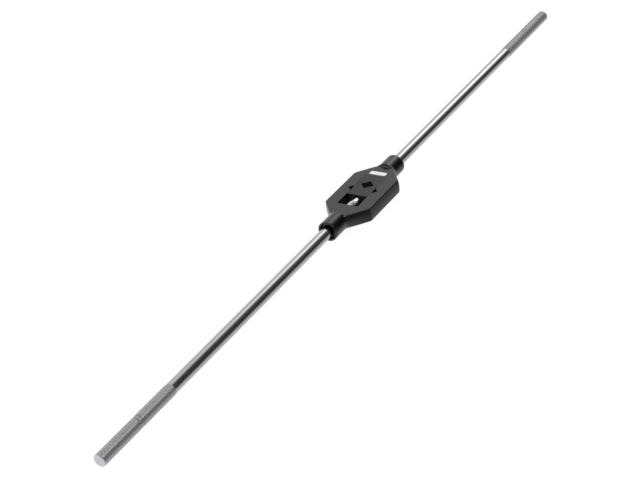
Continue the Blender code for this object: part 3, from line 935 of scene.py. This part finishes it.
def makePlate():
    low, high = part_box("name_plate")
    outline = easedCorners([(low.x, low.y), (high.x, low.y), (high.x, high.y), (low.x, high.y)],
                           smallParts["plateCorner"], 6)
    edge = smallParts["plateEdge"]
    bottom, top = low.z - axisHeight, high.z - axisHeight
    levels = [(bottom, -edge / 2), (bottom + edge / 2, 0), (top - edge, 0), (top, -edge),
              (top, -edge * 3.5), (top - edge * 0.6, -edge * 4.5)]
    plate = platePiece("blank_plate", outline, levels, whiteEnamelGlow)
    fit(plate, "housing_body", "white_label", "name_plate")


makeBush()
for side in ("left", "right"):
    makePin("fixed_jaw_dowel_" + side, "jaw_dowel_" + side, "housing_body", hardSteel, "hard_steel")
makePin("fixed_handle_pin", "handle_lock_pin", "housing_body", blackPaint, "black_paint")
for side in ("left", "right"):
    makePin("nose_pin_" + side, "jaw_nose_pin_" + side, "jaw_body", hardSteel, "hard_steel")
makePlate()
print("pieces made")


studio = {
    "floorHalf": 6.0,
    "floorColour": (0.10, 0.10, 0.10),
    "floorPatches": 0.96,             # how dark its patches are beside that
    "floorGlow": 0.95,
    # its glow as reflections show it, by distance towards -Y
    "floorMirrored": ((0.0, 0.80), (0.008, 0.78), (0.013, 0.76), (0.022, 0.60), (0.034, 0.37),
                      (0.046, 0.24), (0.07, 0.13), (0.1, 0.06)),
    "backdrop": 1.0,
    "wall": 0.86,
    "darkWall": 0.050,
    "dimWall": 0.22,                  # the dark side's level from its middle on, behind the camera
    "dimStart": (-50.0, -80.0),       # azimuths, in degrees from +X, over which it gets there
    "darkEdge": -27.0,                # where it ends at floor level
    "darkLean": 1.19,                 # how many degrees further round it ends for each degree up
    "darkSoftness": 2.9,
    "behind": (150.0, 180.0),         # azimuths over which the dim part starts on its other side
    "keyTowards": (3.7, 39.8),        # azimuth and height of the soft light's middle, in degrees
    "keySize": (20.2, 10.5),
    "keyTilt": 0.307,
    "keyPower": 2.6,
    "overhead": 3.2,
    "overheadTowards": (-84.0, 56.0),
    "overheadReach": (25.0, 12.0),    # degrees from its middle over which it starts
}


def rampOf(tree, value, pairs):
    # straight steps between (place, level) pairs, the first at 0
    reach = pairs[-1][0]
    made = tree.nodes.new("ShaderNodeValToRGB")
    tree.links.new(maths(tree, "DIVIDE", value, reach), made.inputs[0])
    elements = made.color_ramp.elements
    elements.remove(elements[1])
    for count, (place, level) in enumerate(pairs):
        if count:
            elements.new(place / reach)
        elements[count].position = place / reach
        elements[count].color = (level, level, level, 1.0)
    return made.outputs[0]


def cameraSwitch(tree, mirrored, seen):
    camera = node(tree, "ShaderNodeLightPath").outputs["Is Camera Ray"]
    return mixedValue(tree, camera, mirrored, seen)


def makeFloor():
    # a light table: it glows, so that the shadows on it stay faint, and in reflections the glow fades
    half = studio["floorHalf"]
    corners = [(-half, -half, 0), (half, -half, 0), (half, half, 0), (-half, half, 0)]
    mesh = bpy.data.meshes.new("floor")
    mesh.from_pydata(corners, [], [(0, 1, 2, 3)])
    material, tree, shader = newMaterial("paleFloor", Roughness=0.9, Specular_IOR_Level=0.0,
                                         Emission_Color=(1.0, 1.0, 1.0, 1.0))
    place = objectPlace(tree)
    light = studio["floorColour"]
    dark = tuple(studio["floorPatches"] * c for c in light)
    colour = mixedColour(tree, noise(tree, place, 3.0, 2.0), light, dark)
    tree.links.new(colour, shader.inputs["Base Color"])
    aside = maths(tree, "MULTIPLY", node(tree, "ShaderNodeSeparateXYZ", {0: place}).outputs["Y"], -1.0)
    mirrored = rampOf(tree, aside, studio["floorMirrored"])
    tree.links.new(cameraSwitch(tree, mirrored, studio["floorGlow"]), shader.inputs["Emission Strength"])
    floor = addObject("pale_floor", mesh, material)


def towards(azimuth, height):
    # the direction at those two angles, in degrees
    a, h = math.radians(azimuth), math.radians(height)
    return math.cos(h) * math.cos(a), math.cos(h) * math.sin(a), math.sin(h)


def makeWorld():
    # a white room with a dark side, a soft light and another overhead; the camera sees a plain backdrop
    world = bpy.data.worlds.new("studio")
    bpy.context.scene.world = world
    world.use_nodes = True
    tree = world.node_tree
    p = studio
    direction = node(tree, "ShaderNodeTexCoord").outputs["Generated"]
    axes = node(tree, "ShaderNodeSeparateXYZ", {0: direction}).outputs
    azimuth = maths(tree, "DEGREES", maths(tree, "ARCTAN2", axes["Y"], axes["X"]))
    height = maths(tree, "DEGREES", maths(tree, "ARCSINE", axes["Z"]))
    # the dark side: 1 / (1 + e^((azimuth - edge) / softness)), where edge = darkEdge + darkLean * height
    edge = maths(tree, "MULTIPLY_ADD", height, p["darkLean"], p["darkEdge"])
    past = maths(tree, "DIVIDE", maths(tree, "SUBTRACT", azimuth, edge), p["darkSoftness"])
    power = maths(tree, "POWER", math.e, maths(tree, "MINIMUM", past, 20.0))
    dark = maths(tree, "DIVIDE", 1.0, maths(tree, "ADD", power, 1.0))
    behind = ranged(tree, azimuth, *p["behind"])
    dark = maths(tree, "MAXIMUM", dark, behind)
    dim = maths(tree, "MAXIMUM", ranged(tree, azimuth, *p["dimStart"]), behind)
    dim = mixedValue(tree, dim, p["darkWall"], p["dimWall"])
    level = mixedValue(tree, dark, p["wall"], dim)
    # the light: keyPower e^-(u^2 + v^2), with u and v measured along its own tilted axes
    sideways = maths(tree, "SUBTRACT", azimuth, p["keyTowards"][0])
    upwards = maths(tree, "SUBTRACT", height, p["keyTowards"][1])
    cosine, sine = math.cos(p["keyTilt"]), math.sin(p["keyTilt"])
    u = maths(tree, "MULTIPLY_ADD", sideways, cosine / p["keySize"][0],
              maths(tree, "MULTIPLY", upwards, sine / p["keySize"][0]))
    v = maths(tree, "MULTIPLY_ADD", sideways, -sine / p["keySize"][1],
              maths(tree, "MULTIPLY", upwards, cosine / p["keySize"][1]))
    squares = maths(tree, "ADD", maths(tree, "MULTIPLY", u, u), maths(tree, "MULTIPLY", v, v))
    key = maths(tree, "POWER", math.e, maths(tree, "MULTIPLY", maths(tree, "MINIMUM", squares, 20.0), -1.0))
    level = maths(tree, "MULTIPLY_ADD", key, p["keyPower"], level)
    dot = node(tree, "ShaderNodeVectorMath", {0: direction, 1: towards(*p["overheadTowards"])},
               operation="DOT_PRODUCT")
    away = maths(tree, "DEGREES", maths(tree, "ARCCOSINE", dot.outputs["Value"]))
    overhead = ranged(tree, away, *p["overheadReach"], 0.0, p["overhead"])
    level = maths(tree, "MAXIMUM", level, overhead)
    tree.links.new(cameraSwitch(tree, level, p["backdrop"]), tree.nodes["Background"].inputs["Color"])


# the camera's place, the directions it looks in and holds its lower edge to, and its lens in millimetres
view = {
    "place": (-1.02970, -0.69579, 0.72234),
    "forward": (0.69363, 0.50280, -0.51582),
    "down": (-0.51069, -0.16178, -0.84441),
    "lens": 93.79,
    "sensor": 36.0,
    "clip": (0.05, 50.0),
}


def makeCamera():
    data = bpy.data.cameras.new("camera")
    data.lens = view["lens"]
    data.sensor_width = view["sensor"]
    data.clip_start, data.clip_end = view["clip"]
    camera = bpy.data.objects.new("camera", data)
    back = -Vector(view["forward"]).normalized()
    right = (-Vector(view["down"])).cross(back).normalized()
    up = back.cross(right)
    turn = Matrix((right, up, back)).transposed()
    camera.matrix_world = Matrix.Translation(view["place"]) @ turn.to_4x4()
    bpy.context.scene.collection.objects.link(camera)
    bpy.context.scene.camera = camera


makeFloor()
makeWorld()
makeCamera()
bpy.context.scene.view_settings.view_transform = "Standard"
print("floor, light and camera ready")
